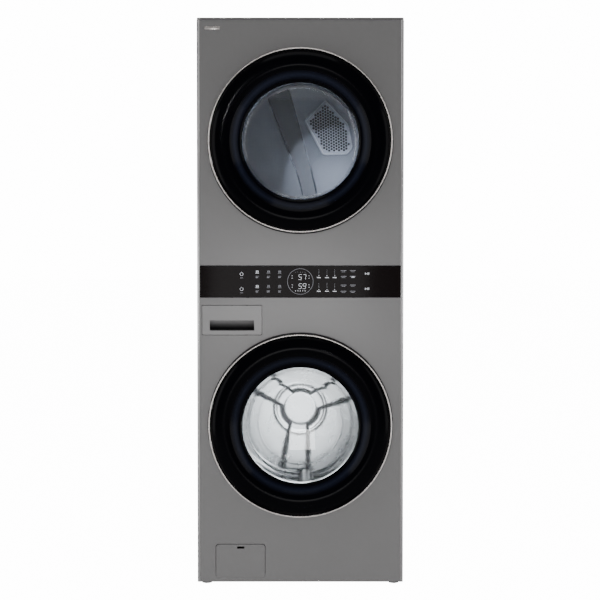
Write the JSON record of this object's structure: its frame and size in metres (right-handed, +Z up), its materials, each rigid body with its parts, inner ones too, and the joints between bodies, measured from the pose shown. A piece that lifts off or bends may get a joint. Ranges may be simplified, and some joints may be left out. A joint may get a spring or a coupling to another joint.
{
  "type": "washer dryer stack",
  "caption": "Free-standing stacked laundry centre: front-loading washer with a sprung tub below, vented dryer with a belt-driven drum above, control panel between them.",
  "frame": {"origin": "on the floor, at the middle of the footprint, so X = 0 is the plane through both drum axes", "axes": "+Z up, the doors face -Y, +X to the right of someone facing the doors"},
  "size_m": [0.686, 0.772, 1.889],
  "materials": {
    "graphite_steel": "satin graphite enamel with a fine metallic grain",
    "black_glass": "gloss black",
    "trim_chrome": "bright",
    "clear_glass": "clear",
    "black_plastic": "satin",
    "galvanised_steel": "galvanised",
    "stainless_steel": "polished",
    "cast_aluminium": "as cast",
    "spring_steel": "oiled dark wire",
    "concrete": "rough cast",
    "pale_plastic": "fine moulded",
    "grey_plastic": "moulded",
    "grey_rubber": "soft moulded",
    "black_rubber": "moulded"
  },
  "bodies": {
    "cabinet": {"cabinet_wrap": "graphite_steel", "rear_access_panel": "galvanised_steel", "base_pan": "galvanised_steel", "middle_deck": "galvanised_steel", "top_cover": "graphite_steel", "washer_front_panel": "graphite_steel", "dryer_front_panel": "graphite_steel", "control_fascia": "black_glass", "drain_pump": "grey_plastic", "inlet_valves": "grey_plastic", "dispenser_housing": "pale_plastic", "washer_door_lock": "black_plastic", "washer_hinge_bracket": "galvanised_steel", "dryer_hinge_bracket": "galvanised_steel", "door_gasket": "grey_rubber", "spring_left": "spring_steel", "spring_right": "spring_steel", "damper_left": "cast_aluminium", "damper_right": "cast_aluminium", "dryer_front_bulkhead": "galvanised_steel", "dryer_rear_bulkhead": "galvanised_steel", "heater_housing": "galvanised_steel", "blower_housing": "grey_plastic", "exhaust_duct": "galvanised_steel", "dryer_motor": "galvanised_steel", "drive_belt": "black_rubber"},
    "washer_tub": {"washer_tub": "pale_plastic", "tub_front_cover": "pale_plastic", "counterweight": "concrete", "motor_stator": "black_plastic"},
    "washer_drum": {"washer_drum": "stainless_steel", "washer_lifter_1": "grey_plastic", "washer_lifter_2": "grey_plastic", "washer_lifter_3": "grey_plastic", "drum_spider": "cast_aluminium", "motor_rotor": "galvanised_steel"},
    "washer_door": {"washer_door_frame": "black_plastic", "washer_door_ring": "trim_chrome", "washer_door_fascia": "black_glass", "washer_door_bowl": "clear_glass", "washer_door_hinge_leaf": "galvanised_steel"},
    "dryer_door": {"dryer_door_frame": "black_plastic", "dryer_door_ring": "trim_chrome", "dryer_door_fascia": "black_glass", "dryer_door_window": "clear_glass", "dryer_door_hinge_leaf": "galvanised_steel"},
    "detergent_drawer": {"drawer_front": "graphite_steel", "dispenser_tray": "pale_plastic"},
    "service_cover": {"service_cover": "graphite_steel"},
    "pump_filter_cap": {"pump_filter_cap": "pale_plastic"},
    "dryer_drum": {"dryer_drum": "stainless_steel"},
    "dryer_drive": {"blower_wheel": "grey_plastic"},
    "roller_left": {"drum_roller_left": "black_rubber"},
    "roller_right": {"drum_roller_right": "black_rubber"},
    "idler": {"idler_pulley": "grey_plastic"},
    "lint_filter": {"lint_filter": "grey_plastic"},
    "foot_front_left": {"foot_front_left": "black_rubber"},
    "foot_front_right": {"foot_front_right": "black_rubber"},
    "foot_rear_left": {"foot_rear_left": "black_rubber"},
    "foot_rear_right": {"foot_rear_right": "black_rubber"}
  },
  "joints": [
    {"name": "washer_door_hinge", "type": "hinge", "parent": "cabinet", "child": "washer_door", "pos_m": [-0.286, -0.364, 0.539], "axis": [0, 0, -1], "range_deg": [0, 120]},
    {"name": "dryer_door_hinge", "type": "hinge", "parent": "cabinet", "child": "dryer_door", "pos_m": [-0.286, -0.364, 1.481], "axis": [0, 0, -1], "range_deg": [0, 120]},
    {"name": "drawer_slide", "type": "slide", "parent": "cabinet", "child": "detergent_drawer", "axis": [0, -1, 0], "range_m": [0, 0.16]},
    {"name": "service_cover_hinge", "type": "hinge", "parent": "cabinet", "child": "service_cover", "pos_m": [-0.1995, -0.3332, 0.032], "axis": [1, 0, 0], "range_deg": [0, 88]},
    {"name": "pump_cap_turn", "type": "hinge", "parent": "cabinet", "child": "pump_filter_cap", "pos_m": [-0.1995, -0.312, 0.0785], "axis": [0, 1, 0], "range_deg": [-90, 90]},
    {"name": "tub_float", "type": "slide", "parent": "cabinet", "child": "washer_tub", "axis": [0, 0, 1], "range_m": [-0.01, 0.008], "stiffness_N_per_m": 30000, "springref_m": 0.0112, "deforming": ["spring_left", "spring_right", "damper_left", "damper_right", "door_gasket"]},
    {"name": "washer_drum_spin", "type": "hinge", "parent": "washer_tub", "child": "washer_drum", "pos_m": [0, 0, 0.539], "axis": [0, 1, 0], "continuous": true},
    {"name": "dryer_drum_spin", "type": "hinge", "parent": "cabinet", "child": "dryer_drum", "pos_m": [0, 0, 1.481], "axis": [0, 1, 0], "continuous": true},
    {"name": "dryer_drive_spin", "type": "hinge", "parent": "cabinet", "child": "dryer_drive", "pos_m": [0.17, 0, 1.155], "axis": [0, 1, 0], "continuous": true},
    {"name": "roller_left_spin", "type": "hinge", "parent": "cabinet", "child": "roller_left", "pos_m": [-0.17415, 0.242, 1.17936], "axis": [0, 1, 0], "continuous": true},
    {"name": "roller_right_spin", "type": "hinge", "parent": "cabinet", "child": "roller_right", "pos_m": [0.17415, 0.242, 1.17936], "axis": [0, 1, 0], "continuous": true},
    {"name": "idler_spin", "type": "hinge", "parent": "cabinet", "child": "idler", "pos_m": [0.06, -0.01, 1.1257], "axis": [0, 1, 0], "continuous": true},
    {"name": "lint_filter_slide", "type": "slide", "parent": "cabinet", "child": "lint_filter", "axis": [0, 0, 1], "range_m": [0, 0.18]},
    {"name": "front_left_foot_turn", "type": "hinge", "parent": "cabinet", "child": "foot_front_left", "pos_m": [-0.314, -0.288, 0.01], "axis": [0, 0, 1], "continuous": true},
    {"name": "front_right_foot_turn", "type": "hinge", "parent": "cabinet", "child": "foot_front_right", "pos_m": [0.314, -0.288, 0.01], "axis": [0, 0, 1], "continuous": true},
    {"name": "rear_left_foot_turn", "type": "hinge", "parent": "cabinet", "child": "foot_rear_left", "pos_m": [-0.314, 0.32, 0.01], "axis": [0, 0, 1], "continuous": true},
    {"name": "rear_right_foot_turn", "type": "hinge", "parent": "cabinet", "child": "foot_rear_right", "pos_m": [0.314, 0.32, 0.01], "axis": [0, 0, 1], "continuous": true}
  ],
  "couplings": [
    {"joint": "dryer_drive_spin", "follows": "dryer_drum_spin", "ratio": 28.909},
    {"joint": "roller_left_spin", "follows": "dryer_drum_spin", "ratio": -10.6},
    {"joint": "roller_right_spin", "follows": "dryer_drum_spin", "ratio": -10.6},
    {"joint": "idler_spin", "follows": "dryer_drum_spin", "ratio": -12.72}
  ]
}
